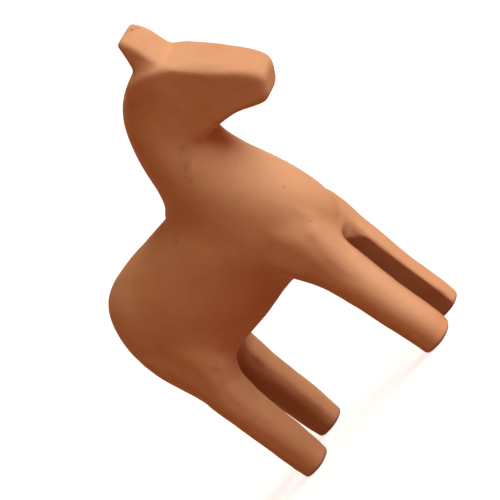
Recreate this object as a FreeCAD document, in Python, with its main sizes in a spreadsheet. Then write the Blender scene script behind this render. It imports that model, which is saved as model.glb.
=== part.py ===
"""A small terracotta horse, built as a potter builds one: hollow rings and halves, solid legs,
a solid head and two stub ears, luted together with slip.

Millimetres. X points from the tail to the head, Y to the horse's left and Z up.
The origin is on the ground, below the middle of the horse.
"""
import FreeCAD
import Part
import math
import os
import Sketcher
from FreeCAD import Placement, Rotation, Vector

doc = FreeCAD.newDocument("TerracottaHorse")

# Driving dimensions

DIMENSIONS = {
    "rump_reach": (66.0, "from the middle back to the end of the rump"),
    "trunk_length": (103.0, "from the rump to the front of the shoulders"),
    "trunk_width": (34.0, "across the barrel"),
    "belly_height": (50.0, "from the ground to the belly"),
    "barrel_depth": (51.0, "from the belly to the back"),
    "neck_rise": (39.0, "from the back to the top of the poll"),
    "neck_width": (22.0, "across the neck at the poll"),
    "brow_place": (38.5, "from the middle forward to the brow"),
    "face_reach": (28.2, "from the brow forward to the end of the muzzle"),
    "face_drop": (30.4, "from the brow down to the top of the muzzle"),
    "throat_place": (29.3, "from the middle forward to the root of the jaw"),
    "throat_height": (109.6, "from the ground to the root of the jaw"),
    "jaw_reach": (31.7, "from the root of the jaw forward to the chin"),
    "jaw_drop": (11.3, "from the root of the jaw down to the chin"),
    "brow_width": (20.2, "across the face at the brow"),
    "muzzle_width": (14.6, "across the muzzle"),
    "face_edge_radius": (2.9, "rounding of the long edges of the face"),
    "muzzle_radius": (2.2, "rounding round the end of the muzzle"),
    "ear_width": (15.8, "across both ears"),
    "ear_root_height": (134.0, "from the ground to the buried root of the ears"),
    "ear_tip_height": (150.0, "from the ground to the tips of the ears"),
    "ear_front": (49.0, "from the middle forward to the front of the ears"),
    "ear_depth": (10.0, "from front to back of an ear above the poll"),
    "ear_corner_radius": (2.0, "rounding of the upright edges of the ears"),
    "ear_tip_radius": (1.5, "rounding of the tips"),
    "ear_notch": (0.8, "depth of the notch between the tips"),
    "tongue_thickness": (4.0, "thickness of the tongue under an ear"),
    "tongue_width": (5.0, "width of that tongue"),
    "tongue_depth": (5.0, "how far that tongue goes below the poll"),
    "foot_length": (13.1, "a foot from front to back"),
    "foot_width": (11.8, "a foot across"),
    "fore_foot_place": (21.9, "from the middle forward to the centre of a fore foot"),
    "hind_foot_place": (54.9, "from the middle back to the centre of a hind foot"),
    "fore_stance": (18.6, "between the centres of the fore feet"),
    "hind_stance": (23.7, "between the centres of the hind feet"),
    "sole_radius": (1.5, "rounding round the sole"),
    "wall": (5.5, "thickness of the hollow walls"),
    "lap_depth": (4.0, "how far the lip of one ring enters the next"),
    "lap_width": (2.4, "thickness of that lip"),
    "peg_diameter": (5.0, "peg on top of a leg"),
    "peg_height": (8.0, "how far the peg rises above the belly"),
    "peg_root": (8.0, "how far the peg is rooted below the belly"),
    "peg_stance": (18.5, "between the centres of the two pegs of a pair of legs"),
    "fore_peg_place": (22.0, "from the middle forward to the pegs of the fore legs"),
    "hind_peg_place": (50.0, "from the middle back to the pegs of the hind legs"),
    "head_peg_diameter": (9.0, "peg at the back of the head"),
    "head_peg_length": (6.0, "how far that peg enters the neck"),
    "head_peg_height": (125.0, "from the ground to the middle of that peg"),
    "slip_gap": (0.2, "film of slip round a peg, a lip or a tongue"),
    "vent_bore": (4.0, "firing vent under the belly"),
    "vent_place": (18.0, "from the middle back to the vent"),
    "seam_place": (28.0, "from the middle back to the seam between the halves of the barrel"),
    "head_seam_place": (34.4, "from the middle forward to the seam between neck and head"),
    "tool_reach": (150.0, "overrun of the cutting blocks"),
}

sizes = doc.addObject("Spreadsheet::Sheet", "Sizes")
for row, (alias, (value, note)) in enumerate(DIMENSIONS.items(), start=1):
    sizes.set(f"A{row}", note)
    sizes.set(f"B{row}", str(value))
    sizes.setAlias(f"B{row}", alias)
doc.recompute()


def named(text):
    """Turn the dimension names in a sum into references to the sheet."""
    words = []
    word = ""
    for letter in text + " ":
        if letter.isalnum() or letter == "_":
            word += letter
            continue
        words.append(f"Sizes.{word}" if word in DIMENSIONS else word)
        words.append(letter)
        word = ""
    return "".join(words).strip()


def bind(item, path, text):
    item.setExpression(path, named(text))


def size(alias):
    """A named size from the sheet, as a number."""
    return float(sizes.get(alias))


# Sections across the horse

# Each row: top x, top z, bottom x, bottom z, width. The x shares run from the rump along the trunk
# length. The barrel's z shares run from the belly up its depth, and its widths are shares of the
# trunk's. The neck's z shares run from the back up its rise, and its widths are shares of its own.
# The rows fan round the withers, and then back round the throat.
BARREL_SHARES = (
    (0.000, 0.367, 0.000, 0.282, 0.12),
    (0.010, 0.553, 0.010, 0.151, 0.48),
    (0.038, 0.761, 0.038, 0.069, 0.74),
    (0.085, 0.922, 0.085, 0.025, 0.91),
    (0.160, 0.986, 0.160, 0.006, 0.995),
    (0.260, 1.002, 0.260, -0.004, 1.018),
    (0.381, 0.995, 0.381, -0.008, 1.010),
    (0.500, 0.984, 0.500, 0.002, 1.000),
    (0.552, 0.980, 0.609, 0.029, 0.995),
    (0.568, 0.988, 0.738, 0.020, 0.995),
    (0.574, 1.000, 0.877, -0.014, 0.990),
    (0.580, 1.016, 0.983, 0.047, 0.970),
    (0.592, 1.027, 1.023, 0.255, 0.935),
    (0.611, 1.049, 1.014, 0.524, 0.895),
)
NECK_SHARES = (
    (0.635, 0.128, 0.983, -0.279, 1.318),
    (0.663, 0.238, 0.976, -0.064, 1.255),
    (0.695, 0.423, 0.978, 0.079, 1.165),
    (0.749, 0.662, 0.978, 0.159, 1.075),
    (0.824, 0.882, 0.993, 0.195, 0.990),
    (0.914, 0.990, 1.027, 0.200, 0.930),
    (0.983, 0.987, 1.073, 0.185, 0.860),
)
# The chamber starts inside the rump and ends below the poll.
CHAMBER_FIRST = 2
CHAMBER_LAST = 18

# Each row of the face: top x along the face's reach, top z down its drop, bottom x along the jaw's
# reach, bottom z down its drop, and how far the width has gone from the brow's to the muzzle's.
FACE_SHARES = (
    (-0.336, 0.132, -0.309, -0.257, 0.50),
    (0.000, 0.000, 0.000, 0.000, 0.05),
    (0.280, 0.105, 0.237, 0.168, 0.00),
    (0.560, 0.359, 0.514, 0.310, 0.20),
    (0.795, 0.638, 0.748, 0.584, 0.50),
    (1.000, 1.000, 1.000, 1.000, 1.00),
)
# Each row of the ears: height from root to tip, how far the front leans back and the depth, both
# as shares of the ear's depth, and the width as a share of its width.
EAR_SHARES = (
    (0.000, -0.04, 1.50, 1.05),
    (0.375, 0.00, 1.00, 1.00),
    (0.690, 0.02, 0.72, 0.96),
    (1.000, 0.14, 0.42, 0.88),
)
# Each row of a leg's shank: height up to the belly, then the reach to the rear and to the front of
# the foot's centre as shares of its length, and inwards and outwards as shares of its width.
FORE_SHANK_SHARES = (
    (0.00, 0.500, 0.500, 0.500, 0.500),
    (0.10, 0.495, 0.515, 0.506, 0.525),
    (0.24, 0.485, 0.538, 0.517, 0.567),
    (0.48, 0.477, 0.569, 0.542, 0.625),
    (0.70, 0.508, 0.615, 0.600, 0.675),
)
HIND_SHANK_SHARES = (
    (0.00, 0.500, 0.500, 0.500, 0.500),
    (0.09, 0.487, 0.545, 0.505, 0.513),
    (0.20, 0.470, 0.622, 0.513, 0.530),
    (0.44, 0.408, 0.721, 0.580, 0.555),
    (0.66, 0.332, 0.760, 0.690, 0.572),
)
# Each row of a leg's root: height up the barrel, rear and front along the trunk, and inner and
# outer side as shares of half the trunk's width. The last row is buried in the barrel.
FORE_ROOT_SHARES = (
    (-0.10, 0.773, 0.941, 0.041, 1.030),
    (0.04, 0.740, 0.958, -0.112, 1.020),
    (0.235, 0.691, 0.958, -0.206, 0.976),
    (0.51, 0.682, 0.929, -0.176, 0.894),
)
HIND_ROOT_SHARES = (
    (-0.137, 0.067, 0.220, 0.106, 1.100),
    (0.00, 0.054, 0.268, -0.088, 1.094),
    (0.235, 0.045, 0.316, -0.235, 1.059),
    (0.51, 0.080, 0.310, -0.176, 0.900),
)
# The corner of a round section, as a share of its smaller half size.
ROUNDNESS_SHARE = 0.93


class Section:
    """A plane across the horse, from a top point to a bottom point of its outline."""

    def __init__(self, top_x, top_z, bottom_x, bottom_z, half_width):
        top = Vector(top_x, 0, top_z)
        bottom = Vector(bottom_x, 0, bottom_z)
        self.middle = (top + bottom) / 2
        self.half_length = (top - bottom).Length / 2
        self.up = (top - bottom).normalize()
        self.half_width = half_width


def along(share):
    return share * size("trunk_length") - size("rump_reach")


def barrel_section(row):
    top_x, top_z, bottom_x, bottom_z, wide = row
    floor = size("belly_height")
    rise = size("barrel_depth")
    return Section(along(top_x), floor + top_z * rise, along(bottom_x), floor + bottom_z * rise,
                   wide * size("trunk_width") / 2)


def neck_section(row):
    top_x, top_z, bottom_x, bottom_z, wide = row
    floor = size("belly_height") + size("barrel_depth")
    rise = size("neck_rise")
    return Section(along(top_x), floor + top_z * rise, along(bottom_x), floor + bottom_z * rise,
                   wide * size("neck_width") / 2)


POLES_ROUND = 16
CURVE_DEGREE = 3


def pole_ring(section, inset):
    """Control points round one section. They stand outside the oval that they pull the skin to."""
    step = 2 * math.pi / POLES_ROUND
    outside = 3 / (2 + math.cos(step))
    ring = []
    for number in range(POLES_ROUND):
        angle = number * step
        upward = (section.half_length - inset) * outside * math.cos(angle)
        sideways = (section.half_width - inset) * outside * math.sin(angle)
        ring.append(section.middle + section.up * upward + Vector(0, sideways, 0))
    return ring


def smooth_skin(sections, inset=0):
    """A closed solid whose skin flows over the sections."""
    rings = [pole_ring(section, inset) for section in sections]
    poles = [list(column) for column in zip(*rings)]
    round_knots = list(range(POLES_ROUND + 1))
    along_knots = list(range(len(rings) - CURVE_DEGREE + 1))
    along_counts = [1] * len(along_knots)
    along_counts[0] = along_counts[-1] = CURVE_DEGREE + 1
    surface = Part.BSplineSurface()
    surface.buildFromPolesMultsKnots(poles, [1] * len(round_knots), along_counts,
                                     round_knots, along_knots, True, False,
                                     CURVE_DEGREE, CURVE_DEGREE)
    side = surface.toShape().Faces[0]
    rims = [edge for edge in side.Edges if not edge.isSeam(side)]
    shell = Part.Shell([side] + [Part.Face(Part.Wire([rim])) for rim in rims])
    shell.sewShape()
    return Part.Solid(shell)


def skin_feature(name, sections, inset=0):
    feature = doc.addObject("Part::Feature", name)
    feature.Shape = smooth_skin(sections, inset)
    return feature


outer_sections = [barrel_section(row) for row in BARREL_SHARES]
outer_sections += [neck_section(row) for row in NECK_SHARES]
inner_sections = outer_sections[CHAMBER_FIRST:CHAMBER_LAST]
skin = skin_feature("skin", outer_sections)
chamber = skin_feature("chamber", inner_sections, size("wall"))
lip = skin_feature("lip", inner_sections, size("wall") - size("lap_width"))
lip_seat = skin_feature("lip_seat", inner_sections,
                        size("wall") - size("lap_width") - size("slip_gap"))


# Outlines across the horse, worked out from the sheet by each feature's own expressions

class Across:
    """The sums for a plane across the horse, from a top point to a bottom point."""

    def __init__(self, top_x, top_z, bottom_x, bottom_z):
        self.middle_x = f"(({top_x}) + ({bottom_x})) / 2"
        self.middle_z = f"(({top_z}) + ({bottom_z})) / 2"
        rise = f"(({top_z}) - ({bottom_z}))"
        run = f"(({top_x}) - ({bottom_x}))"
        self.half_length = f"sqrt({rise} ^ 2 + {run} ^ 2) / 2"
        self.turn = f"atan2(({bottom_z}) - ({top_z}); {run})"


def across_barrel(row):
    top_x, top_z, bottom_x, bottom_z, wide = row
    return Across(f"{top_x} * trunk_length - rump_reach",
                  f"belly_height + {top_z} * barrel_depth",
                  f"{bottom_x} * trunk_length - rump_reach",
                  f"belly_height + {bottom_z} * barrel_depth")


def across_neck(row):
    top_x, top_z, bottom_x, bottom_z, wide = row
    return Across(f"{top_x} * trunk_length - rump_reach",
                  f"belly_height + barrel_depth + {top_z} * neck_rise",
                  f"{bottom_x} * trunk_length - rump_reach",
                  f"belly_height + barrel_depth + {bottom_z} * neck_rise")


def origin_plane(body, role):
    for feature in body.Origin.OriginFeatures:
        if feature.Role == role:
            return feature
    raise ValueError(role)


class Station:
    """The sums for one rounded section: its place, its half sizes, its corner and its turn."""

    def __init__(self, x, y, z, half_x, half_y, corner, turn=None):
        self.x = x
        self.y = y
        self.z = z
        self.half_x = half_x
        self.half_y = half_y
        self.corner = corner
        self.turn = turn

    def moved(self, distance, inset):
        """The same section further along its own upright, drawn in all round."""
        x = self.x
        z = f"{self.z} + {distance}"
        if self.turn:
            x = f"{self.x} + {distance} * sin({self.turn})"
            z = f"{self.z} + {distance} * cos({self.turn})"
        half_x = f"({self.half_x} - {inset})"
        half_y = f"({self.half_y} - {inset})"
        corner = f"min({self.corner}; {ROUNDNESS_SHARE} * min({half_x}; {half_y}))"
        return Station(x, self.y, z, half_x, half_y, corner, self.turn)


ROUNDING_ANGLES = (30, 60, 90)
FORWARD = -1
DOWN = -1
UP = 1


def sketch_at(body, name, station):
    """A rounded section as a sketch of its body, level or tilted across the horse."""
    sketch = body.newObject("Sketcher::SketchObject", name)
    sketch.AttachmentSupport = (origin_plane(body, "XY_Plane"), [""])
    sketch.MapMode = "FlatFace"
    if station.turn:
        sketch.AttachmentOffset = Placement(Vector(), Rotation(Vector(0, 1, 0), 1))
        bind(sketch, ".AttachmentOffset.Rotation.Angle", station.turn)
    bind(sketch, ".AttachmentOffset.Base.x", station.x)
    bind(sketch, ".AttachmentOffset.Base.y", station.y)
    bind(sketch, ".AttachmentOffset.Base.z", station.z)
    rounded_rectangle(sketch, station.half_x, station.half_y, station.corner)
    return sketch


def rounded_rectangle(sketch, half_x, half_y, radius):
    """Four sides and four corner arcs round the sketch's origin, held by three sizes."""
    x, y, r = 3, 2, 1
    corners = ((x - r, r - y, -90), (x - r, y - r, 0), (r - x, y - r, 90), (r - x, r - y, 180))
    for number, (corner_x, corner_y, start) in enumerate(corners):
        angle = math.radians(start)
        after = corners[(number + 1) % 4]
        arc = Part.Circle(Vector(corner_x, corner_y), Vector(0, 0, 1), r)
        sketch.addGeometry(Part.ArcOfCircle(arc, angle, angle + math.pi / 2))
        out = Vector(r * math.cos(angle + math.pi / 2), r * math.sin(angle + math.pi / 2))
        sketch.addGeometry(Part.LineSegment(Vector(corner_x, corner_y) + out,
                                            Vector(after[0], after[1]) + out))
    for arc in (0, 2, 4, 6):
        line = arc + 1
        sketch.addConstraint(Sketcher.Constraint("Tangent", arc, 2, line, 1))
        sketch.addConstraint(Sketcher.Constraint("Tangent", line, 2, (arc + 2) % 8, 1))
    for arc in (2, 4, 6):
        sketch.addConstraint(Sketcher.Constraint("Equal", 0, arc))
    for line in (1, 5):
        sketch.addConstraint(Sketcher.Constraint("Vertical", line))
    for line in (3, 7):
        sketch.addConstraint(Sketcher.Constraint("Horizontal", line))
    sketch.addConstraint(Sketcher.Constraint("Symmetric", 0, 3, 4, 3, -1, 1))
    across = sketch.addConstraint(Sketcher.Constraint("DistanceX", 5, 1, 1, 1, 2 * x))
    upward = sketch.addConstraint(Sketcher.Constraint("DistanceY", 7, 1, 3, 1, 2 * y))
    corner = sketch.addConstraint(Sketcher.Constraint("Radius", 0, r))
    bind(sketch, f"Constraints[{across}]", f"2 * ({half_x})")
    bind(sketch, f"Constraints[{upward}]", f"2 * ({half_y})")
    bind(sketch, f"Constraints[{corner}]", radius)


def loft(body, name, sketches, ruled=False):
    feature = body.newObject("PartDesign::AdditiveLoft", name)
    feature.Profile = sketches[0]
    feature.Sections = sketches[1:]
    feature.Ruled = ruled
    doc.recompute()


def lofted_body(name, stations, end, outward, radius):
    """A body lofted through stations, with one end rounded off in steps.

    The end is 0 for the first station or -1 for the last, and outward is the way that it faces
    along the section's own upright.
    """
    body = doc.addObject("PartDesign::Body", name)
    sketches = [sketch_at(body, f"{name}_section_{number}", station)
                for number, station in enumerate(stations, start=1)]
    loft(body, f"{name}_loft", sketches)
    steps = [sketches[end]]
    for number, angle in enumerate(ROUNDING_ANGLES, start=1):
        ahead = f"({outward} * {radius} * sin({angle} deg))"
        inset = f"({radius} * (1 - cos({angle} deg)))"
        station = stations[end].moved(ahead, inset)
        steps.append(sketch_at(body, f"{name}_rounding_{number}", station))
    loft(body, f"{name}_rounding", steps, ruled=True)
    return body


# The face: flat forehead and cheeks with rounded edges, narrowing to a blunt muzzle

def make_face():
    stations = []
    for top_x, top_z, bottom_x, bottom_z, narrowing in FACE_SHARES:
        plane = Across(f"brow_place + {top_x} * face_reach",
                       f"belly_height + barrel_depth + neck_rise - {top_z} * face_drop",
                       f"throat_place + {bottom_x} * jaw_reach",
                       f"throat_height - {bottom_z} * jaw_drop")
        wide = f"(brow_width + {narrowing} * (muzzle_width - brow_width))"
        stations.append(Station(plane.middle_x, "0", plane.middle_z, plane.half_length,
                                f"{wide} / 2", "face_edge_radius", plane.turn))
    stations[-1] = stations[-1].moved("muzzle_radius", "0")
    return lofted_body("face", stations, -1, FORWARD, "muzzle_radius")


# The ears: one block across the poll, parted down the middle later

def make_ears():
    stations = []
    for high, lean, deep, wide in EAR_SHARES:
        height = "(ear_tip_height - ear_tip_radius - ear_root_height)"
        stations.append(Station(f"ear_front - ({lean} + {deep} / 2) * ear_depth", "0",
                                f"ear_root_height + {high} * {height}",
                                f"{deep} * ear_depth / 2", f"{wide} * ear_width / 2",
                                f"min(ear_corner_radius; {deep} * ear_depth / 2.1)"))
    return lofted_body("ears", stations, -1, UP, "ear_tip_radius")


# The legs: round shanks that flare into the shoulder and the haunch

def make_leg(name, side, place, stance, shank_rows, root_rows):
    rows = []
    for high, rear, front, inner, outer in shank_rows:
        rows.append((f"sole_radius + {high} * (belly_height - sole_radius)",
                     f"{place} - {rear} * foot_length", f"{place} + {front} * foot_length",
                     f"{stance} / 2 - {inner} * foot_width",
                     f"{stance} / 2 + {outer} * foot_width"))
    for high, rear, front, inner, outer in root_rows:
        rows.append((f"belly_height + {high} * barrel_depth",
                     f"{rear} * trunk_length - rump_reach",
                     f"{front} * trunk_length - rump_reach",
                     f"{inner} * trunk_width / 2", f"{outer} * trunk_width / 2"))
    stations = []
    for high, rear, front, inner, outer in rows:
        half_x = f"(({front}) - ({rear})) / 2"
        half_y = f"(({outer}) - ({inner})) / 2"
        stations.append(Station(f"(({rear}) + ({front})) / 2",
                                f"{side} * (({inner}) + ({outer})) / 2", high, half_x, half_y,
                                f"{ROUNDNESS_SHARE} * min({half_x}; {half_y})"))
    return lofted_body(f"{name}_form", stations, 0, DOWN, "sole_radius")


face = make_face()
ears = make_ears()
LEFT = 1
RIGHT = -1
SIDES = ((LEFT, "left"), (RIGHT, "right"))
leg_forms = {}
for side, word in SIDES:
    leg_forms[f"fore_leg_{word}"] = make_leg(f"fore_leg_{word}", side, "fore_foot_place",
                                             "fore_stance", FORE_SHANK_SHARES, FORE_ROOT_SHARES)
    leg_forms[f"hind_leg_{word}"] = make_leg(f"hind_leg_{word}", side, "(0 - hind_foot_place)",
                                             "hind_stance", HIND_SHANK_SHARES, HIND_ROOT_SHARES)


# Cutting tools and booleans

def slab(name, plane, start, depth):
    """A wide block on a plane across the horse. It runs from start to start + depth towards
    the tail, or below a level plane's top."""
    block = doc.addObject("Part::Box", name)
    block.Placement = Placement(Vector(), Rotation(Vector(0, 1, 0), 1))
    bind(block, "Length", "2 * tool_reach")
    bind(block, "Width", "2 * tool_reach")
    bind(block, "Height", depth)
    bind(block, ".Placement.Base.x",
         f"{plane.middle_x} - tool_reach * cos({plane.turn}) + ({start}) * sin({plane.turn})")
    bind(block, ".Placement.Base.y", "0 - tool_reach")
    bind(block, ".Placement.Base.z",
         f"{plane.middle_z} + tool_reach * sin({plane.turn}) + ({start}) * cos({plane.turn})")
    bind(block, ".Placement.Rotation.Angle", plane.turn)
    return block


def tail_side(name, plane):
    return slab(name, plane, "0", "2 * tool_reach")


def head_side(name, plane):
    return slab(name, plane, "0 - 2 * tool_reach", "2 * tool_reach")


def cut(name, base, tool):
    feature = doc.addObject("Part::Cut", name)
    feature.Base = base
    feature.Tool = tool
    return feature


def common(name, *shapes):
    feature = doc.addObject("Part::MultiCommon", name)
    feature.Shapes = list(shapes)
    return feature


def fuse(name, *shapes):
    feature = doc.addObject("Part::MultiFuse", name)
    feature.Shapes = list(shapes)
    return feature


def rod(name, radius, height, x, y, z, lying=False):
    """A round peg or bore: upright from its lower end, or lying forward from its rear end."""
    feature = doc.addObject("Part::Cylinder", name)
    if lying:
        feature.Placement = Placement(Vector(), Rotation(Vector(0, 1, 0), 90))
    bind(feature, "Radius", radius)
    bind(feature, "Height", height)
    bind(feature, ".Placement.Base.x", x)
    bind(feature, ".Placement.Base.y", y)
    bind(feature, ".Placement.Base.z", z)
    return feature


def block(name, x, y, z, length, width, height):
    feature = doc.addObject("Part::Box", name)
    for path, text in ((".Placement.Base.x", x), (".Placement.Base.y", y),
                       (".Placement.Base.z", z), ("Length", length), ("Width", width),
                       ("Height", height)):
        bind(feature, path, text)
    return feature


barrel_seam = Across("0 - seam_place", "belly_height + barrel_depth", "0 - seam_place",
                     "belly_height")
shoulder_seam = across_barrel(BARREL_SHARES[-1])
neck_seam = across_neck(NECK_SHARES[1])
head_seam = Across("head_seam_place", "throat_height + neck_rise", "head_seam_place",
                   "throat_height")

carcass = fuse("carcass", skin, face)
hollow = cut("hollow", carcass, chamber)
barrel_head_side = head_side("barrel_head_side", barrel_seam)
barrel_tail_side = tail_side("barrel_tail_side", barrel_seam)
shoulder_head_side = head_side("shoulder_head_side", shoulder_seam)
shoulder_tail_side = tail_side("shoulder_tail_side", shoulder_seam)
neck_head_side = head_side("neck_head_side", neck_seam)
neck_tail_side = tail_side("neck_tail_side", neck_seam)
head_head_side = head_side("head_head_side", head_seam)
head_tail_side = tail_side("head_tail_side", head_seam)


def lip_ring(name, plane):
    """The lip that one ring of clay pushes back into the ring behind it."""
    reach = slab(f"{name}_reach", plane, "0", "lap_depth")
    whole = common(f"{name}_whole", lip, reach)
    return cut(name, whole, chamber)


def lip_socket(name, plane):
    reach = slab(f"{name}_reach", plane, "0", "lap_depth + slip_gap")
    return common(name, lip_seat, reach)


# Pegs and sockets

def leg_peg(name, side, place, extra):
    return rod(name, f"peg_diameter / 2 + {extra}", f"peg_root + peg_height + {extra}",
               place, f"{side} * peg_stance / 2", "belly_height - peg_root")


pegs = {}
sockets = {}
for side, word in SIDES:
    for pair, place in (("fore", "fore_peg_place"), ("hind", "0 - hind_peg_place")):
        node = f"{pair}_leg_{word}"
        pegs[node] = leg_peg(f"{node}_peg", side, place, "0")
        sockets[node] = leg_peg(f"{node}_socket", side, place, "slip_gap")

vent = rod("vent", "vent_bore / 2", "2 * wall", "0 - vent_place", "0", "belly_height - wall")

# The halves of the barrel

rear_blank = common("rear_blank", hollow, barrel_tail_side)
rear_tools = fuse("rear_tools", lip_socket("barrel_lip_socket", barrel_seam),
                  sockets["hind_leg_left"], sockets["hind_leg_right"])
trunk_rear = cut("trunk_rear", rear_blank, rear_tools)

front_blank = common("front_blank", hollow, barrel_head_side, shoulder_tail_side)
front_whole = fuse("front_whole", front_blank, lip_ring("barrel_lip", barrel_seam))
front_tools = fuse("front_tools", lip_socket("shoulder_lip_socket", shoulder_seam), vent,
                   sockets["fore_leg_left"], sockets["fore_leg_right"])
trunk_front = cut("trunk_front", front_whole, front_tools)

# The rings of the neck

lower_blank = common("lower_blank", hollow, shoulder_head_side, neck_tail_side)
lower_whole = fuse("lower_whole", lower_blank, lip_ring("shoulder_lip", shoulder_seam))
neck_lower = cut("neck_lower", lower_whole, lip_socket("neck_lip_socket", neck_seam))

upper_blank = common("upper_blank", hollow, neck_head_side, head_tail_side)
upper_whole = fuse("upper_whole", upper_blank, lip_ring("neck_lip", neck_seam))
head_socket = rod("head_socket", "head_peg_diameter / 2 + slip_gap",
                  "2 * head_peg_length + slip_gap",
                  "head_seam_place - head_peg_length - slip_gap", "0", "head_peg_height", lying=True)
neck_upper = cut("neck_upper", upper_whole, head_socket)

# The head and the ears

head_peg = rod("head_peg", "head_peg_diameter / 2", "2 * head_peg_length",
               "head_seam_place - head_peg_length", "0", "head_peg_height", lying=True)
head_blank = common("head_blank", carcass, neck_head_side, head_head_side)
head_whole = fuse("head_whole", head_blank, head_peg)


def tongue(name, side, extra):
    """The tongue under one ear, or with a film of slip added, its groove in the head."""
    return block(name, f"ear_front - ear_depth / 2 - tongue_thickness / 2 - {extra}",
                 f"{side} * ear_width / 4 - tongue_width / 2 - {extra}",
                 f"belly_height + barrel_depth + neck_rise - tongue_depth - {extra}",
                 f"tongue_thickness + 2 * {extra}", f"tongue_width + 2 * {extra}",
                 f"tongue_depth + ear_notch + {extra}")


grooves = fuse("grooves", tongue("groove_left", LEFT, "slip_gap"),
               tongue("groove_right", RIGHT, "slip_gap"))
head = cut("head", head_whole, grooves)
ear_shape = cut("ear_shape", ears, carcass)
notch = block("notch", "ear_front - 2 * ear_depth", "0", "0", "3 * ear_depth", "ear_notch * 2",
              "ear_notch * 2")
notch.Placement = Placement(Vector(), Rotation(Vector(1, 0, 0), 45))
bind(notch, ".Placement.Base.x", "ear_front - 2 * ear_depth")
bind(notch, ".Placement.Base.y", "0")
bind(notch, ".Placement.Base.z", "ear_tip_height - ear_notch")
notched = cut("notched_ears", ear_shape, notch)
pieces = [trunk_rear, trunk_front, neck_lower, neck_upper, head]
for side, word in SIDES:
    edge = "0" if side == LEFT else "0 - tool_reach"
    half = block(f"ear_half_{word}", "0 - tool_reach", edge, "0", "2 * tool_reach",
                 "tool_reach", "2 * tool_reach")
    ear_blank = common(f"ear_blank_{word}", notched, half)
    pieces.append(fuse(f"ear_{word}", ear_blank, tongue(f"tongue_{word}", side, "0")))

for side, word in SIDES:
    for pair in ("fore", "hind"):
        node = f"{pair}_leg_{word}"
        edge = "0" if side == LEFT else "0 - tool_reach"
        half = block(f"{node}_half", "0 - tool_reach", edge, "0 - tool_reach",
                     "2 * tool_reach", "tool_reach", "2 * tool_reach")
        trimmed = cut(f"{node}_trimmed", leg_forms[node], skin)
        own_side = common(f"{node}_side", trimmed, half)
        pieces.append(fuse(node, own_side, pegs[node]))

doc.recompute()
for item in doc.Objects:
    if "Invalid" in item.State or "Error" in item.State:
        raise RuntimeError(f"{item.Name}: {item.State}")

os.makedirs("parts", exist_ok=True)
for piece in pieces:
    piece.Label = piece.Name
    shape = piece.Shape
    if shape.isNull() or not shape.isValid():
        raise RuntimeError(f"{piece.Name} has no valid shape")
    print(piece.Name, len(shape.Solids), "solid", round(shape.Volume), "mm3")
    shape.exportStep(f"parts/{piece.Name}.step")
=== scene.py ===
# %% [markdown]
# # A small fired clay horse
# A potter builds this horse from hollow rings and halves, four solid legs, a solid head and two
# stub ears. The pieces are pressed together with wet slip and smoothed over, so the fired horse
# shows one unbroken skin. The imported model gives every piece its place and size. This script
# melts their surfaces into that one skin and gives it the look of bare, wood-fired clay.

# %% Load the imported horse
import math
import bmesh
import bpy
import numpy as np
from mathutils import Matrix, Vector, noise


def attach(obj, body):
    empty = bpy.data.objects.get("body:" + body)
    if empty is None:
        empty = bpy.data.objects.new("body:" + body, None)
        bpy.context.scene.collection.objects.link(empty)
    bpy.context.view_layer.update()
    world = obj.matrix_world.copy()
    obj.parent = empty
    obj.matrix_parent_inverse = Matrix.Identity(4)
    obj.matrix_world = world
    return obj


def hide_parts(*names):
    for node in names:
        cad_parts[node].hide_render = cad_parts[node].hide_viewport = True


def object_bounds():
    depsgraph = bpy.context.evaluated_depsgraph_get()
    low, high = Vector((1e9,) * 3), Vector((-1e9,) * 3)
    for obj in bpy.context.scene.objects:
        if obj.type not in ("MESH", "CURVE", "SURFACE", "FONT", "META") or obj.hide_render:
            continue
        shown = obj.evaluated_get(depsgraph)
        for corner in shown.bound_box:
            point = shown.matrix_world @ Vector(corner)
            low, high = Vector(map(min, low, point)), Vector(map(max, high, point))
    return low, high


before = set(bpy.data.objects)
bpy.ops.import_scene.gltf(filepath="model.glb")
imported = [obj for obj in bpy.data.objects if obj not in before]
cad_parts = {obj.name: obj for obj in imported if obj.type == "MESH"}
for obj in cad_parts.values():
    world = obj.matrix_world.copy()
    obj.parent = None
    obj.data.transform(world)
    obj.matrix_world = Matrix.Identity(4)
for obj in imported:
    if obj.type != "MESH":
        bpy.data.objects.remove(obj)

MM = 0.001
CAD_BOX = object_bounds()
CLAY_PIECES = sorted(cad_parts)
print("pieces of clay:", len(CLAY_PIECES))

# %% [markdown]
# ## Copies to work on
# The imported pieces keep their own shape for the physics, so the clay that is seen starts from
# copies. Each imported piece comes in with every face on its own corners. Merging the corners that
# lie in one place closes each copy again. Linking the pieces instead would have changed them too.

# %% Copies, and modifiers made final
SAME_CORNER = 0.001 * MM


def in_scene(name, mesh):
    """A piece in the scene, made from its mesh."""
    piece = bpy.data.objects.new(name, mesh)
    bpy.context.scene.collection.objects.link(piece)
    return piece


def joined_copy(name, nodes):
    """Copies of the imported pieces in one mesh, with the loose corners of each copy merged."""
    bm = bmesh.new()
    for node in nodes:
        own = bmesh.new()
        own.from_mesh(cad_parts[node].data)
        bmesh.ops.remove_doubles(own, verts=own.verts, dist=SAME_CORNER)
        copy = bpy.data.meshes.new(node)
        own.to_mesh(copy)
        own.free()
        bm.from_mesh(copy)
        bpy.data.meshes.remove(copy)
    mesh = bpy.data.meshes.new(name)
    bm.to_mesh(mesh)
    bm.free()
    return in_scene(name, mesh)


def settled(piece):
    """Replace a piece's mesh by what its modifiers make of it, and take them off."""
    graph = bpy.context.evaluated_depsgraph_get()
    made = bpy.data.meshes.new_from_object(piece.evaluated_get(graph))
    piece.modifiers.clear()
    old = piece.data
    piece.data = made
    bpy.data.meshes.remove(old)


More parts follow.
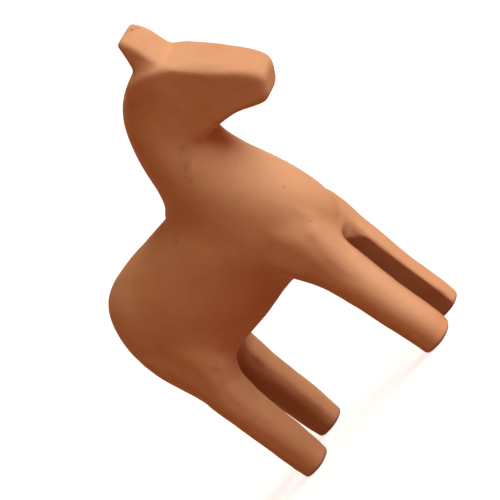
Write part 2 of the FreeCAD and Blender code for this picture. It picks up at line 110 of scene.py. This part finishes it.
# %% [markdown]
# ## Clay pressed on
# Before the last smoothing, a potter presses small lumps on where the pieces are too lean: on the
# breast, the seat, the haunches, the throat, the face and the poll, and round each leg, whose inner
# side is then cut flat with a knife. Sculpting by hand could do it, but not the same way twice.
# Here each lump is a closed loft of rounded rectangles, so a few rows say its whole shape, and the
# left and the right side share one table.

# %% The lumps, row by row
CORNER_STEPS = 7


def rounded_ring(low, high, inner, outer, inner_radius, outer_radius):
    """Corners of a rounded rectangle, whose inner and outer edges have their own radius."""
    ring = []
    for corner, (ahead, across) in enumerate(((1, 1), (-1, 1), (-1, -1), (1, -1))):
        radius = outer_radius if across > 0 else inner_radius
        middle = (high - radius if ahead > 0 else low + radius,
                  outer - radius if across > 0 else inner + radius)
        for number in range(CORNER_STEPS):
            angle = math.pi / 2 * (corner + number / (CORNER_STEPS - 1))
            ring.append((middle[0] + radius * math.cos(angle),
                         middle[1] + radius * math.sin(angle)))
    return ring


def clay_lump(name, rows, origin=(0, 0, 0), along=(0, 0, 1), over=(1, 0, 0), side=1):
    """A closed lump of clay, from rounded rectangles that follow each other along a line. Each row
    is its place along the line, its lower and upper edge in the direction over, its inner and
    outer edge across the horse, and the radius of its inner and outer corners, in millimetres."""
    bm = bmesh.new()
    origin, along, over = Vector(origin), Vector(along).normalized(), Vector(over).normalized()
    rings = []
    for place, low, high, inner, outer, inner_radius, outer_radius in rows:
        ring = []
        for ahead, across in rounded_ring(low, high, inner, outer, inner_radius, outer_radius):
            point = origin + along * place + over * ahead + Vector((0, side * across, 0))
            ring.append(bm.verts.new(point * MM))
        rings.append(ring)
    for first, second in zip(rings, rings[1:]):
        for number in range(len(first)):
            after = (number + 1) % len(first)
            bm.faces.new((first[number], first[after], second[after], second[number]))
    bm.faces.new(reversed(rings[0]))
    bm.faces.new(rings[-1])
    bmesh.ops.recalc_face_normals(bm, faces=bm.faces)
    mesh = bpy.data.meshes.new(name)
    bm.to_mesh(mesh)
    bm.free()
    return mesh


# Legs, haunches, breast, seat and throat are built up from the ground, so a row's first number is
# its height.
FORE_LEG = ((1.2, 15.9, 28.1, 4.2, 14.9, 1.8, 4.5), (6, 15.6, 28.7, 3.9, 15.2, 1.8, 5.5),
            (15, 15.6, 29.0, 3.9, 15.8, 1.8, 6), (25, 15.8, 29.4, 3.8, 16.4, 1.8, 6),
            (35, 15.5, 30.0, 3.8, 16.8, 1.8, 6), (45, 14.5, 31.0, 3.8, 17.0, 1.8, 6),
            (52, 13, 32.4, 3.8, 16.6, 1.8, 6), (60, 12, 33.8, 4.0, 15.1, 1.8, 6),
            (67, 13, 32.8, 4.0, 12.6, 1.8, 6))
HIND_LEG = ((1.2, -60.9, -48.8, 6.9, 17.2, 3, 4), (6, -61.2, -47.9, 6.7, 17.6, 3, 4.5),
            (15, -60.7, -46.4, 6.6, 17.9, 3, 5), (25, -60.0, -45.5, 6.4, 18.0, 3, 5),
            (35, -59.2, -44.8, 6.0, 18.1, 2.6, 5), (45, -58.8, -42.6, 5.5, 18.1, 2.2, 5),
            (52, -58.8, -40, 5.3, 17.8, 2.2, 6))
HAUNCH = ((48, -59.2, -47, 6.0, 17.8, 3, 6), (54, -60.4, -45, 1.0, 17.6, 3, 7),
          (60, -61.5, -44, 0.0, 17.4, 3, 7.5), (68, -62.8, -44, 0.0, 17.0, 3, 8),
          (75, -62.8, -44, 0.0, 16.4, 3, 8.5), (82, -59.0, -44, 0.0, 13.0, 3, 9))
BREAST = ((49.8, 15, 31.4, -7.0, 7.0, 3, 3), (51.2, 13, 32.3, -8.4, 8.4, 4, 4),
          (54, 13, 33.3, -10.3, 10.3, 4.5, 4.5), (58, 13, 34.4, -11.6, 11.6, 5, 5),
          (63, 13, 35.4, -12.0, 12.0, 5.5, 5.5), (69, 13, 35.9, -11.7, 11.7, 6, 6),
          (77, 13, 34.8, -10.3, 10.3, 6, 6))
SEAT = ((49.8, -59.0, -47, -7.5, 7.5, 3, 3), (51, -61.2, -45, -9, 9, 3, 3),
        (56, -62.6, -45, -9, 9, 3, 3), (63, -63.6, -45, -8, 8, 3, 3))
THROAT = ((84, 20, 31.0, -6.0, 6.0, 5, 5), (95, 20, 32.2, -8.6, 8.6, 6, 6),
          (104, 20, 33.2, -9.6, 9.6, 5, 5), (112, 20, 34.0, -9.9, 9.9, 4, 4),
          (119, 20, 34.2, -10.0, 10.0, 3, 3))
# Face and poll run down the forehead instead, from a place near its top.
FACE_TOP = (47.0, 0, 135.0)
FACE_ALONG = (19.5, 0, -22.0)
FACE_OVER = (22.0, 0, 19.5)
FACE = ((1, -12.0, 1.1, -9.8, 9.8, 2, 2), (6, -15.0, 1.3, -10.1, 10.1, 2, 2),
        (12, -19.0, 0.8, -10.1, 10.1, 2, 2), (18, -21.4, 0.1, -9.8, 9.8, 2, 2),
        (24, -18.0, -0.4, -9.2, 9.2, 2, 2), (28, -16.3, -0.7, -8.6, 8.6, 2.2, 2.2),
        (32, -14.9, -1.4, -7.9, 7.9, 2.5, 2.5), (34.5, -14.0, -2.3, -7.3, 7.3, 2.8, 2.8),
        (35.8, -13.3, -3.6, -6.5, 6.5, 2.8, 2.8), (36.5, -12.3, -5.4, -5.4, 5.4, 2.5, 2.5))
POLL = ((-15, -28, -13, -6.5, 6.5, 4, 4), (-12.5, -28, -9, -8.4, 8.4, 4, 4),
        (-9, -27, -5.5, -9.5, 9.5, 4, 4), (-4, -25, -2.5, -10.0, 10.0, 4, 4),
        (1, -20, -1, -10.1, 10.1, 4, 4))

lumps = [clay_lump("breast", BREAST), clay_lump("seat", SEAT), clay_lump("throat", THROAT),
         clay_lump("face", FACE, FACE_TOP, FACE_ALONG, FACE_OVER),
         clay_lump("poll", POLL, FACE_TOP, FACE_ALONG, FACE_OVER)]
for side in (-1, 1):
    for name, rows in (("fore_leg", FORE_LEG), ("hind_leg", HIND_LEG), ("haunch", HAUNCH)):
        lumps.append(clay_lump(name, rows, side=side))

# %% [markdown]
# ## One skin from many pieces
# A Boolean union would keep each seam as a hard line. Remesh in voxel mode does what wet fingers
# do: it forgets where one piece ends, drops the walls hidden inside and leaves one closed skin of
# even squares. The squares are small enough for the rounding of the muzzle.

# %% Join the copies and the lumps, and remesh them
VOXEL = 0.7 * MM

horse = joined_copy("clay_skin", CLAY_PIECES)
bm = bmesh.new()
bm.from_mesh(horse.data)
for lump in lumps:
    bm.from_mesh(lump)
    bpy.data.meshes.remove(lump)
bm.to_mesh(horse.data)
bm.free()
remesh = horse.modifiers.new("wet_fingers", "REMESH")
remesh.mode = "VOXEL"
remesh.voxel_size = VOXEL
remesh.use_smooth_shade = True
settled(horse)
print("skin corners:", len(horse.data.vertices))

# %% [markdown]
# ## Arrays for working the clay
# Moving a hundred thousand corners one at a time is slow in Python. The corners and edges go into
# arrays, every corner is moved at once, and the result is written back at the end.

# %% Corners, edges and the mean of each corner's neighbours
points = np.empty(len(horse.data.vertices) * 3)
horse.data.vertices.foreach_get("co", points)
points = points.reshape(-1, 3)
edges = np.empty(len(horse.data.edges) * 2, dtype=np.int64)
horse.data.edges.foreach_get("vertices", edges)
edges = edges.reshape(-1, 2)
edge_count = np.bincount(edges.ravel(), minlength=len(points))


def around(places):
    """The mean of each corner's neighbours."""
    total = np.empty_like(places)
    for axis in range(3):
        total[:, axis] = np.bincount(edges[:, 0], places[edges[:, 1], axis], len(places))
        total[:, axis] += np.bincount(edges[:, 1], places[edges[:, 0], axis], len(places))
    return total / edge_count[:, None]


def write_back(places):
    """Give the moved corners back to the horse's mesh."""
    horse.data.vertices.foreach_set("co", places.ravel())
    horse.data.update()


def outward():
    """The way out of the clay at each corner."""
    normals = np.empty(len(points) * 3)
    horse.data.vertices.foreach_get("normal", normals)
    return normals.reshape(-1, 3)


# %% [markdown]
# ## Fill the joints with slip
# Where a leg meets the barrel, the potter pushes clay into the corner until it is a soft hollow.
# Smoothing everywhere would also wear down the ridges, so a corner only moves where its
# neighbours lie further out than it does, which is where there is a hollow to fill. Each zone has
# its own strength, so the corner below the ears stays sharper. A light smoothing follows over the
# whole horse. Its passes go in and out by turns, so it evens the skin without shrinking the legs.

# %% Zones of the joints, a fill that only builds up, and the smoothing
SLIP_ZONES = (
    # low corner, high corner and fade in millimetres, then strength
    ((1, -20, 52), (41, 20, 86), 4, 1.0),
    ((-67, -20, 52), (-27, 20, 86), 4, 1.0),
    ((23, -14, 114), (41, 14, 141), 4, 1.0),
    ((38, -10, 137), (51, 10, 142), 2, 0.5),
    ((16, -15, 92), (31, 15, 114), 4, 0.9),
)


def soft_box(places, low, high, fade):
    """1 inside a box, and down to 0 within a fade outside it."""
    low = np.array(low) * MM
    high = np.array(high) * MM
    away = np.maximum(np.maximum(low - places, places - high), 0).max(axis=1)
    return np.clip(1 - away / (fade * MM), 0, 1)


strength = np.zeros(len(points))
for low, high, fade, force in SLIP_ZONES:
    strength = np.maximum(strength, force * soft_box(points, low, high, fade))

FILL_PASSES, FILL_SHARE = 480, 0.9
PASSES_PER_LOOK = 40
for number in range(FILL_PASSES):
    if number % PASSES_PER_LOOK == 0:
        write_back(points)
        normals = outward()
    pull = around(points) - points
    lift = np.maximum((pull * normals).sum(axis=1), 0)
    points += FILL_SHARE * (strength * lift)[:, None] * normals

SMOOTH_PASSES, SMOOTH_IN, SMOOTH_OUT = 60, 0.6, -0.57
SMOOTH_EVERYWHERE = 0.25
for number in range(SMOOTH_PASSES):
    share = SMOOTH_IN if number % 2 == 0 else SMOOTH_OUT
    points += share * np.maximum(strength, SMOOTH_EVERYWHERE)[:, None] * (around(points) - points)

# %% [markdown]
# ## The knife in the slot
# The knife that opened the slot between the fore legs went deeper into the left one, so that side
# stands further from the middle. Cutting a block away would leave a ledge where the block ends.
# Instead, every corner on the slot's left is pushed out to the plane of the cut. Higher up the
# plane bends back towards the middle and meets the arch of the breast. A few passes of smoothing
# take the edge off.

# %% Push the left side of the slot out to the cut
KNIFE_INNER, KNIFE_TOP, KNIFE_END = 5.3 * MM, 38 * MM, 47 * MM
KNIFE_BEND = 0.9
SLOT_BACK, SLOT_MIDDLE = 8 * MM, 0.4 * MM
EDGE_PASSES, EDGE_SHARE = 4, 0.5

bend = np.clip((points[:, 2] - KNIFE_TOP) / (KNIFE_END - KNIFE_TOP), 0, 1)
cut = KNIFE_INNER * (1 - KNIFE_BEND * bend ** 2)
in_slot = ((points[:, 0] > SLOT_BACK) & (points[:, 1] > SLOT_MIDDLE)
           & (points[:, 2] < KNIFE_END))
points[:, 1] = np.where(in_slot, np.maximum(points[:, 1], cut), points[:, 1])
for number in range(EDGE_PASSES):
    points += EDGE_SHARE * in_slot[:, None] * (around(points) - points)
write_back(points)
print("highest point after the knife:", round(points[:, 2].max() / MM, 2), "mm")

# %% [markdown]
# ## Worked by hand
# A hand-smoothed surface is never quite true. Slow noise of a quarter of a millimetre moves each
# corner along its own way out, with a fainter and quicker layer for the marks of a thumb. The
# soles stay flat, because the horse stands on them. At the end the skin is kept inside the packed
# model's box. Only the muzzle may stand a little in front of it.

# %% Uneven skin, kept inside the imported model's box
# Waves per metre and depth of each layer.
THUMB_LAYERS = ((70, 0.28 * MM), (230, 0.07 * MM))
SOLE_FLAT, SOLE_FADE = 0.5 * MM, 3 * MM
MUZZLE_PROUD = 1.9 * MM
BOX_MARGIN = 0.01 * MM

normals = outward()
lift = np.zeros(len(points))
for pace, depth in THUMB_LAYERS:
    lift += depth * np.array([noise.noise(Vector(place) * pace) for place in points])
lift *= np.clip((points[:, 2] - SOLE_FLAT) / SOLE_FADE, 0, 1)
points += lift[:, None] * normals
points = np.clip(points, np.array(CAD_BOX[0]) + BOX_MARGIN,
                 np.array(CAD_BOX[1]) + np.array((MUZZLE_PROUD, -BOX_MARGIN, -BOX_MARGIN)))
write_back(points)
horse.data.polygons.foreach_set("use_smooth", [True] * len(horse.data.polygons))

# %% [markdown]
# ## Sums for the clay's finish
# A shader is easier to read as sums than as wires. This class holds one socket and turns each
# operator on it into a Math node. Every other node comes from add_node.

# %% A socket that takes part in sums
class Layer:
    """A value that changes over the clay."""

    def __init__(self, socket):
        self.socket = socket

    def sum_with(self, operation, first, second):
        return add_node(self.socket.id_data, "ShaderNodeMath", {"operation": operation},
                        {0: first, 1: second})["Value"]

    def __add__(self, other):
        return self.sum_with("ADD", self, other)

    __radd__ = __add__

    def __sub__(self, other):
        return self.sum_with("SUBTRACT", self, other)

    def __rsub__(self, other):
        return self.sum_with("SUBTRACT", other, self)

    def __mul__(self, other):
        return self.sum_with("MULTIPLY", self, other)

    __rmul__ = __mul__


def find(sockets, key):
    """The socket with this number, identifier or name."""
    if isinstance(key, int):
        return sockets[key]
    for socket in sockets:
        if socket.identifier == key:
            return socket
    return sockets[key]


def add_node(tree, kind, settings=None, inputs=None):
    """Add a node, set it up, then give its sockets values or links. Returns its outputs."""
    node = tree.nodes.new(kind)
    for name, value in (settings or {}).items():
        setattr(node, name, value)
    for key, value in (inputs or {}).items():
        socket = find(node.inputs, key)
        if isinstance(value, Layer):
            tree.links.new(value.socket, socket)
        else:
            socket.default_value = value
    return {socket.identifier: Layer(socket) for socket in node.outputs}


# %% [markdown]
# ## Bare fired clay
# Earthenware without glaze is an orange brown that drifts from paler and yellower, where the
# flame was hot, to redder. Close up it is a dense, dull grain with a few dark specks and pits,
# and faint scrape lines where the potter drew a blade down the legs. A painted picture would need
# unwrapping and would show seams. All of this is noise on the horse's own coordinates instead, so
# the pattern runs on round every edge.

# %% Clay colours and the material
CLAY = (0.600, 0.290, 0.148, 1)
CLAY_PALE = (0.650, 0.340, 0.185, 1)
CLAY_RED = (0.580, 0.240, 0.105, 1)
CLAY_SPECK = (0.200, 0.085, 0.045, 1)
# Painted shade for the slots between the legs.
SLOT_SHADE_COLOUR = (0.340, 0.125, 0.055, 1)
# Dark smoke for the marks; the same colour is painted shade on the rims of the soles.
SMOKE_AND_SHADE = (0.115, 0.060, 0.040, 1)

# Waves per metre of each pattern, from the widest to the finest.
FLAME_WAVES, BLUSH_WAVES, MOTTLE_WAVES, WORN_WAVES = 28, 45, 260, 300
TORN_WAVES, SPECK_WAVES, SCRAPE_WAVES, FINE_WAVES = 420.0, 700, 1100, 1900

# How much of its colour each layer lays over the clay; the rim and slot shares lay painted shade.
BLUSH_SHARE, MOTTLE_SHARE, SPECK_SHARE, SOLE_SHADE_SHARE, SLOT_SHADE_SHARE = 0.7, 0.22, 0.35, 0.55, 0.6

# How much each layer stands up or sinks in, and how deep the relief is.
FINE_RISE, MOTTLE_RISE, SCRAPE_RISE, SPECK_SINK, MARK_SINK = 0.5, 0.8, 0.35, 1.2, 2.0
RELIEF_STRENGTH, RELIEF_DEPTH = 0.35, 0.12 * MM

DULL, DULLER_IN_MOTTLE, SHINE = 0.74, 0.2, 0.25

clay = bpy.data.materials.new("fired_clay")
clay.use_nodes = True
tree = clay.node_tree
tree.nodes.clear()
place = add_node(tree, "ShaderNodeTexCoord")["Object"]


def grain(scale, detail=2.0, roughness=0.5, coordinates=None):
    """Noise from 0 to 1; its scale is in waves per metre."""
    return add_node(tree, "ShaderNodeTexNoise", {"noise_dimensions": "3D"},
                    {"Vector": coordinates or place, "Scale": scale, "Detail": detail,
                     "Roughness": roughness})["Fac"]


def between(value, low, high):
    """0 below low, 1 above high, and a soft step between."""
    return add_node(tree, "ShaderNodeMapRange",
                    {"interpolation_type": "SMOOTHSTEP", "clamp": True},
                    {"Value": value, "From Min": low, "From Max": high})["Result"]


def blend_colour(share, first, second):
    """The first colour with a share of the second laid over it."""
    return add_node(tree, "ShaderNodeMix", {"data_type": "RGBA"},
                    {"Factor_Float": share, "A_Color": first, "B_Color": second})["Result_Color"]


flame = between(grain(FLAME_WAVES, 3.0), 0.35, 0.68)
blush = between(grain(BLUSH_WAVES, 4.0, 0.6), 0.48, 0.75)
mottle = grain(MOTTLE_WAVES, 4.0, 0.6)
fine = grain(FINE_WAVES, 3.0, 0.65)
colour = blend_colour(flame, CLAY, CLAY_PALE)
colour = blend_colour(blush * BLUSH_SHARE, colour, CLAY_RED)
colour = blend_colour(between(mottle, 0.3, 0.75) * MOTTLE_SHARE, colour, CLAY_PALE)
speck = between(grain(SPECK_WAVES, 2.0, 0.5), 0.70, 0.78)
colour = blend_colour(speck * SPECK_SHARE, colour, CLAY_SPECK)

# %% [markdown]
# ## Marks of smoke and wear, and painted shade
# The photograph shows a few dark, uneven marks: on the neck, the back, the breast, the belly's edge
# and the ear's chipped rim. A mark is the distance to a short line, torn by noise, so it looks like
# a smudge and not like a dot. The rims of the soles get painted shade, where their rounded edges
# turn down to the floor, and the slots between the legs get painted shade, dark and red.

# %% Smudges, and painted shade on the sole rims and in the slots
TORN_BY = 1.2 * MM
MARK_CORE = 0.1
SHORTEST_RUN = 1e-12
WORN_LEAST, WORN_MORE = 0.35, 0.9

# Each mark runs from one place to another, in millimetres, with its half width and how dark it is.
MARKS = (
    ((28.2, -10.7, 111.5), (20.6, -13.5, 104.4), 2.6, 0.26),
    ((-3.4, -10.8, 94.8), (-5.0, -11.0, 93.6), 2.4, 0.20),
    ((37.1, -5.5, 53.2), (37.1, -1.5, 54.6), 1.5, 0.34),
    ((36.1, -6.9, 76.1), (36.1, -6.9, 76.1), 1.3, 0.38),
    ((-40.0, -17.5, 54.0), (-40.0, -17.5, 51.6), 2.4, 0.36),
    ((48.8, 0.2, 149.2), (49.2, 3.6, 148.2), 2.0, 1.0),
    ((48.8, -2.8, 149.2), (48.8, -1.8, 149.2), 1.6, 0.8),
)


def vector_sum(operation, *values):
    """A Vector Math node; gives its number for DISTANCE and DOT_PRODUCT, else its vector."""
    made = add_node(tree, "ShaderNodeVectorMath", {"operation": operation},
                    dict(enumerate(values)))
    return made["Value" if operation in ("DISTANCE", "DOT_PRODUCT") else "Vector"]


wobble = add_node(tree, "ShaderNodeTexNoise", {"noise_dimensions": "3D"},
                  {"Vector": place, "Scale": TORN_WAVES, "Detail": 3.0})["Color"]
wobble = vector_sum("MULTIPLY_ADD", wobble, (2 * TORN_BY,) * 3, (-TORN_BY,) * 3)
torn = vector_sum("ADD", place, wobble)


def streak(start, end, half_width):
    """1 along a line with torn edges, and 0 away from it."""
    start, end = Vector(start) * MM, Vector(end) * MM
    run = end - start
    from_start = vector_sum("SUBTRACT", torn, tuple(start))
    share = vector_sum("DOT_PRODUCT", from_start,
                       tuple(run / max(run.length_squared, SHORTEST_RUN)))
    share = add_node(tree, "ShaderNodeClamp", None,
                     {"Value": share, "Min": 0.0, "Max": 1.0})["Result"]
    nearest = add_node(tree, "ShaderNodeVectorMath", {"operation": "SCALE"},
                       {0: tuple(run), "Scale": share})["Vector"]
    away = vector_sum("DISTANCE", from_start, nearest)
    return 1 - between(away, MARK_CORE * half_width * MM, half_width * MM)


marked = streak(*MARKS[0][:3]) * MARKS[0][3]
for start, end, half_width, darkness in MARKS[1:]:
    marked = marked + streak(start, end, half_width) * darkness
marked = marked * (WORN_LEAST + WORN_MORE * between(grain(WORN_WAVES, 2.0, 0.5), 0.38, 0.66))
colour = blend_colour(marked, colour, SMOKE_AND_SHADE)

sides = add_node(tree, "ShaderNodeSeparateXYZ", None, {"Vector": place})
across, high = sides["Y"], sides["Z"]
# Painted shade: the rims of the soles are darkened where their rounded edges turn down to the
# floor.
painted_sole_shade = 1 - between(high, 0.3 * MM, 1.5 * MM)
colour = blend_colour(painted_sole_shade * SOLE_SHADE_SHARE, colour, SMOKE_AND_SHADE)

# Painted shade: the slots between the legs are darkened and reddened, near the middle and below the
# breast.
from_middle = add_node(tree, "ShaderNodeMath", {"operation": "ABSOLUTE"}, {0: across})["Value"]
painted_slot_shade = (1 - between(from_middle, 5.0 * MM, 7.4 * MM)) * (1 - between(high, 45 * MM, 54 * MM))
colour = blend_colour(painted_slot_shade * SLOT_SHADE_SHARE, colour, SLOT_SHADE_COLOUR)

# %% [markdown]
# ## Relief and gloss
# Grain and mottle stand up by hundredths of a millimetre, specks and marks are pits, and the scrape
# lines are grain that is stretched along the legs. Modelling pits this small would take millions of
# corners, so they are a bump in the surface alone. Bare clay has next to no shine.

# %% Relief, gloss and the finished clay
UPRIGHT_STRETCH = (1.0, 1.0, 0.06)
stretched = add_node(tree, "ShaderNodeMapping", {"vector_type": "POINT"},
                     {"Vector": place, "Scale": UPRIGHT_STRETCH})["Vector"]
scrape = grain(SCRAPE_WAVES, 2.0, 0.5, stretched)
height = (fine * FINE_RISE + mottle * MOTTLE_RISE + scrape * SCRAPE_RISE
          - speck * SPECK_SINK - marked * MARK_SINK)
bump = add_node(tree, "ShaderNodeBump", None,
                {"Strength": RELIEF_STRENGTH, "Distance": RELIEF_DEPTH,
                 "Height": height})["Normal"]
surface = add_node(tree, "ShaderNodeBsdfPrincipled", None,
                   {"Base Color": colour, "Roughness": DULL + DULLER_IN_MOTTLE * mottle,
                    "Normal": bump, "Specular IOR Level": SHINE})["BSDF"]
add_node(tree, "ShaderNodeOutputMaterial", None, {"Surface": surface})

horse.data.materials.clear()
horse.data.materials.append(clay)
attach(horse, "root")
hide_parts(*CLAY_PIECES)

# %% [markdown]
# ## A pale studio
# The floor is a broad sheet of white paper, and the backdrop is white too. White all round would
# also flood the shaded flank with light, so both look white only to rays that come from the camera,
# or that a shiny thing or glass has turned. The clay itself sees a dim, warm room. The light is low
# and leaves the paper grey, so the paper glows as well, and the soft shadow still falls on it.

# %% Floor and world
FLOOR_SIZE = 8.0
floor_mesh = bpy.data.meshes.new("floor")
bm = bmesh.new()
bmesh.ops.create_grid(bm, x_segments=1, y_segments=1, size=FLOOR_SIZE / 2)
bm.to_mesh(floor_mesh)
bm.free()
floor = in_scene("floor", floor_mesh)


def seen_directly(tree):
    """1 for rays from the camera, a mirror or glass, and 0 for light that bounces about."""
    ray = add_node(tree, "ShaderNodeLightPath")
    most = {"operation": "MAXIMUM"}
    either = add_node(tree, "ShaderNodeMath", most,
                      {0: ray["Is Camera Ray"], 1: ray["Is Glossy Ray"]})["Value"]
    return add_node(tree, "ShaderNodeMath", most,
                    {0: either, 1: ray["Is Transmission Ray"]})["Value"]


WHITE = (1, 1, 1, 1)
PAPER = (0.74, 0.74, 0.74, 1)
PAPER_GLOW = 0.78
WARM_BOUNCE = (0.50, 0.20, 0.09, 1)
paper = bpy.data.materials.new("white_paper")
paper.use_nodes = True
tree = paper.node_tree
tree.nodes.clear()
sheet = add_node(tree, "ShaderNodeBsdfDiffuse", None, {"Color": PAPER})["BSDF"]
glow = add_node(tree, "ShaderNodeEmission", None,
                {"Color": WHITE, "Strength": PAPER_GLOW})["Emission"]
bright = add_node(tree, "ShaderNodeAddShader", None, {0: sheet, 1: glow})["Shader"]
bounce = add_node(tree, "ShaderNodeBsdfDiffuse", None, {"Color": WARM_BOUNCE})["BSDF"]
both = add_node(tree, "ShaderNodeMixShader", None,
                {0: seen_directly(tree), 1: bounce, 2: bright})["Shader"]
add_node(tree, "ShaderNodeOutputMaterial", None, {"Surface": both})
floor_mesh.materials.append(paper)

WARM_ROOM = (0.32, 0.155, 0.062, 1)
world = bpy.data.worlds.new("studio")
bpy.context.scene.world = world
world.use_nodes = True
tree = world.node_tree
tree.nodes.clear()
dim = add_node(tree, "ShaderNodeBackground", None, {"Color": WARM_ROOM, "Strength": 1.0})
white = add_node(tree, "ShaderNodeBackground", None, {"Color": WHITE, "Strength": 1.0})
both = add_node(tree, "ShaderNodeMixShader", None,
                {0: seen_directly(tree), 1: dim["Background"], 2: white["Background"]})["Shader"]
add_node(tree, "ShaderNodeOutputWorld", None, {"Surface": both})

# %% [markdown]
# ## One soft light
# The light comes from in front of the horse and a little above it: forehead, chest and the fronts
# of the legs are bright, and the flank falls into a warm shade. An area lamp would fall off between
# head and rump. A sun lamp as wide as a large window lights the whole horse alike and keeps the
# edges of the shade soft. Its tint is a little blue and green, because the warm room adds red.

# %% The window
LIGHT_FROM = Vector((0.95, 0.09, 0.33))
LIGHT_WIDTH = math.radians(52)
LIGHT_STRENGTH = 4.2
LIGHT_TINT = (0.80, 0.87, 0.86)

window = bpy.data.lights.new("window", "SUN")
window.angle = LIGHT_WIDTH
window.energy = LIGHT_STRENGTH
window.color = LIGHT_TINT
window_item = bpy.data.objects.new("window", window)
bpy.context.scene.collection.objects.link(window_item)
window_item.location = LIGHT_FROM
window_item.rotation_euler = LIGHT_FROM.to_track_quat("Z", "Y").to_euler()

# %% [markdown]
# ## The camera
# The photograph was taken with the horse lying aslant in the frame, so the camera is rolled. Its
# place was worked out from the outline: a long lens about 70 centimetres away, a little higher than
# the ears, in front of the horse's right side.

# %% Camera
VIEW_AZIMUTH = math.radians(37.34)
VIEW_ELEVATION = math.radians(8.38)
VIEW_ROLL = math.radians(55.77)
VIEW_DISTANCE = 711.8 * MM
VIEW_CENTRE = Vector((0.45, 0, 69.73)) * MM
FRAME_PIXELS = 500
FOCAL_PIXELS = 2013.0
SENSOR_WIDTH = 36
NEAREST_SEEN = 10 * MM

back = Vector((math.sin(VIEW_AZIMUTH) * math.cos(VIEW_ELEVATION),
               -math.cos(VIEW_AZIMUTH) * math.cos(VIEW_ELEVATION), math.sin(VIEW_ELEVATION)))
right = Vector((math.cos(VIEW_AZIMUTH), math.sin(VIEW_AZIMUTH), 0))
up = back.cross(right)
camera_right = math.cos(VIEW_ROLL) * right - math.sin(VIEW_ROLL) * up
camera_up = math.sin(VIEW_ROLL) * right + math.cos(VIEW_ROLL) * up
camera_data = bpy.data.cameras.new("camera")
camera_data.sensor_width = SENSOR_WIDTH
camera_data.lens = SENSOR_WIDTH * FOCAL_PIXELS / FRAME_PIXELS
camera_data.clip_start = NEAREST_SEEN
camera = bpy.data.objects.new("camera", camera_data)
bpy.context.scene.collection.objects.link(camera)
turn = Matrix((camera_right, camera_up, back)).transposed().to_4x4()
camera.matrix_world = Matrix.Translation(VIEW_CENTRE + back * VIEW_DISTANCE) @ turn
bpy.context.scene.camera = camera
bpy.context.scene.view_settings.view_transform = "Standard"
